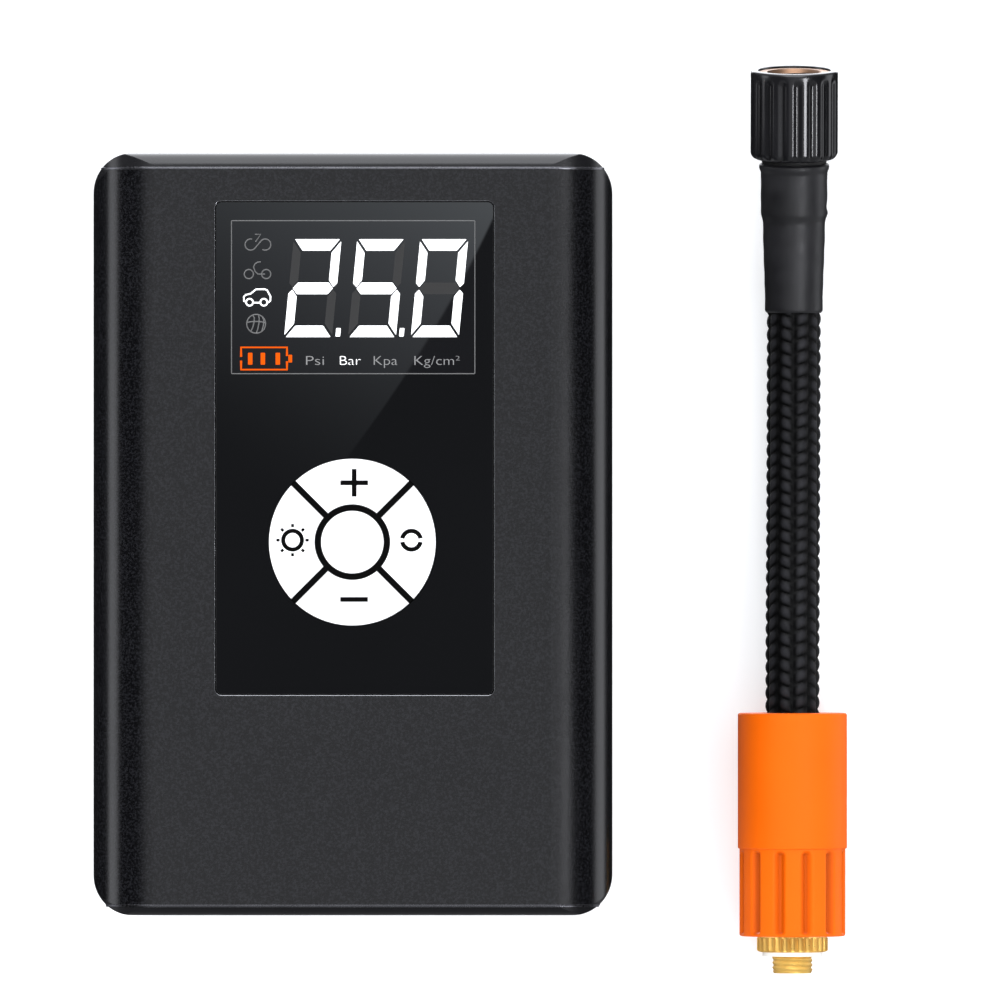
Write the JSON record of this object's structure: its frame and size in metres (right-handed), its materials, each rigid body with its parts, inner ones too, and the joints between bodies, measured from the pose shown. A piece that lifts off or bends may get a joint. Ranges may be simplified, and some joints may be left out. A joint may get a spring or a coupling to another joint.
{
  "type": "portable tire inflator",
  "caption": "Handheld battery air pump with display, ring of keys and a separate braided hose that ends in a screw-on tyre valve chuck",
  "frame": {"origin": "centre of the pump's back face, on the surface that it lies on; the hose is left out of this", "axes": "+X to the pump's right, +Y towards the air outlet, +Z out of the display"},
  "size_m": [0.1225, 0.1486, 0.0452],
  "materials": {
    "sleeve_black": "black anodised, fine bead-blasted grain",
    "cap_black": "black moulded plastic, satin",
    "panel_gloss": "polished black acrylic",
    "window_smoke": "smoked window, polished",
    "display_dark": "segment display housing",
    "web_black": "black moulded plastic",
    "key_white": "white moulded keys",
    "silicone": "soft silicone",
    "board_green": "green solder mask",
    "switch_black": "moulded plastic",
    "screw_steel": "plated steel",
    "motor_steel": "plated steel can",
    "magnet": "ferrite",
    "moulding": "glass-filled nylon",
    "cylinder_alu": "die-cast",
    "cell_wrap": "shrink-wrapped cells",
    "lens_clear": "clear lens",
    "brass": "turned brass",
    "grip_orange": "orange moulded plastic",
    "washer_white": "white nylon washer",
    "braid_black": "black braided textile cover over rubber",
    "shrink_black": "heat-shrink sleeve",
    "collar_black": "black fluted collar, semi-gloss"
  },
  "bodies": {
    "housing": {"body_sleeve": "sleeve_black", "top_cap": "cap_black", "bottom_cap": "cap_black", "top_cap_screws": "screw_steel", "bottom_cap_screws": "screw_steel", "front_panel": "panel_gloss", "display_window": "window_smoke", "key_web": "web_black", "usb_socket": "screw_steel", "lamp_lens": "lens_clear", "outlet_port": "brass", "top_seal_strips": "silicone", "bottom_seal_strips": "silicone", "panel_frame": "web_black", "display_module": "display_dark", "keypad_mat": "silicone", "circuit_board": "board_green", "board_screws": "screw_steel", "tact_switches": "switch_black", "pressure_sensor": "switch_black", "lamp_board": "board_green", "battery_cells": "cell_wrap", "battery_holder": "web_black", "motor_can": "motor_steel", "motor_magnets": "magnet", "motor_endcap": "moulding", "crank_bearings": "screw_steel", "gear_frame": "moulding", "frame_screws": "screw_steel", "cylinder": "cylinder_alu", "cylinder_head": "cylinder_alu", "head_screws": "screw_steel", "reed_valve": "screw_steel", "outlet_seal": "silicone", "air_tube": "silicone"},
    "rotor": {"motor_armature": "motor_steel", "motor_pinion": "motor_steel"},
    "crank": {"crank_gear": "moulding", "crank_axle": "screw_steel", "crank_pin": "screw_steel"},
    "rod": {"connecting_rod": "cylinder_alu", "wrist_pin": "screw_steel"},
    "piston_body": {"piston": "cylinder_alu", "piston_cup": "silicone"},
    "plus_button": {"key_plus": "key_white"},
    "minus_button": {"key_minus": "key_white"},
    "light_button": {"key_light": "key_white"},
    "mode_button": {"key_mode": "key_white"},
    "power_button": {"key_power": "key_white"},
    "hose": {"hose_grip": "grip_orange", "hose_plug": "brass", "hose_washer": "washer_white", "air_hose": "braid_black", "hose_sleeve": "shrink_black", "hose_nipple": "brass", "chuck_seal": "silicone", "chuck_pin": "brass"},
    "chuck": {"chuck_collar": "collar_black", "chuck_insert": "brass"}
  },
  "joints": [
    {"name": "rotor_spin", "type": "hinge", "parent": "housing", "child": "rotor", "pos_m": [-0.0148, -0.026, 0.0185], "axis": [1, 0, 0], "continuous": true},
    {"name": "crank_spin", "type": "hinge", "parent": "housing", "child": "crank", "pos_m": [-0.0148, -0.008, 0.0185], "axis": [1, 0, 0], "continuous": true},
    {"name": "rod_turn", "type": "hinge", "parent": "crank", "child": "rod", "pos_m": [-0.02, -0.011, 0.0185], "axis": [1, 0, 0], "continuous": true},
    {"name": "piston_stroke", "type": "slide", "parent": "housing", "child": "piston_body", "axis": [0, 1, 0], "range_m": [0, 0.006]},
    {"name": "plus_press", "type": "slide", "parent": "housing", "child": "plus_button", "axis": [0, 0, -1], "range_m": [0, 0.0004], "stiffness_N_per_m": 2000},
    {"name": "minus_press", "type": "slide", "parent": "housing", "child": "minus_button", "axis": [0, 0, -1], "range_m": [0, 0.0004], "stiffness_N_per_m": 2000},
    {"name": "light_press", "type": "slide", "parent": "housing", "child": "light_button", "axis": [0, 0, -1], "range_m": [0, 0.0004], "stiffness_N_per_m": 2000},
    {"name": "mode_press", "type": "slide", "parent": "housing", "child": "mode_button", "axis": [0, 0, -1], "range_m": [0, 0.0004], "stiffness_N_per_m": 2000},
    {"name": "power_press", "type": "slide", "parent": "housing", "child": "power_button", "axis": [0, 0, -1], "range_m": [0, 0.0004], "stiffness_N_per_m": 2000},
    {"name": "hose_lift", "type": "slide", "parent": "housing", "child": "hose", "axis": [0, 0, 1], "range_m": [0, 0.06]},
    {"name": "chuck_spin", "type": "hinge", "parent": "hose", "child": "chuck", "pos_m": [0.07192, 0.06134, 0.00709], "axis": [0, 0.9903, 0.1392], "continuous": true}
  ],
  "couplings": [
    {"joint": "crank_spin", "follows": "rotor_spin", "ratio": -0.30435},
    {"joint": "rod_turn", "follows": "rotor_spin", "ratio": 0.30435}
  ]
}
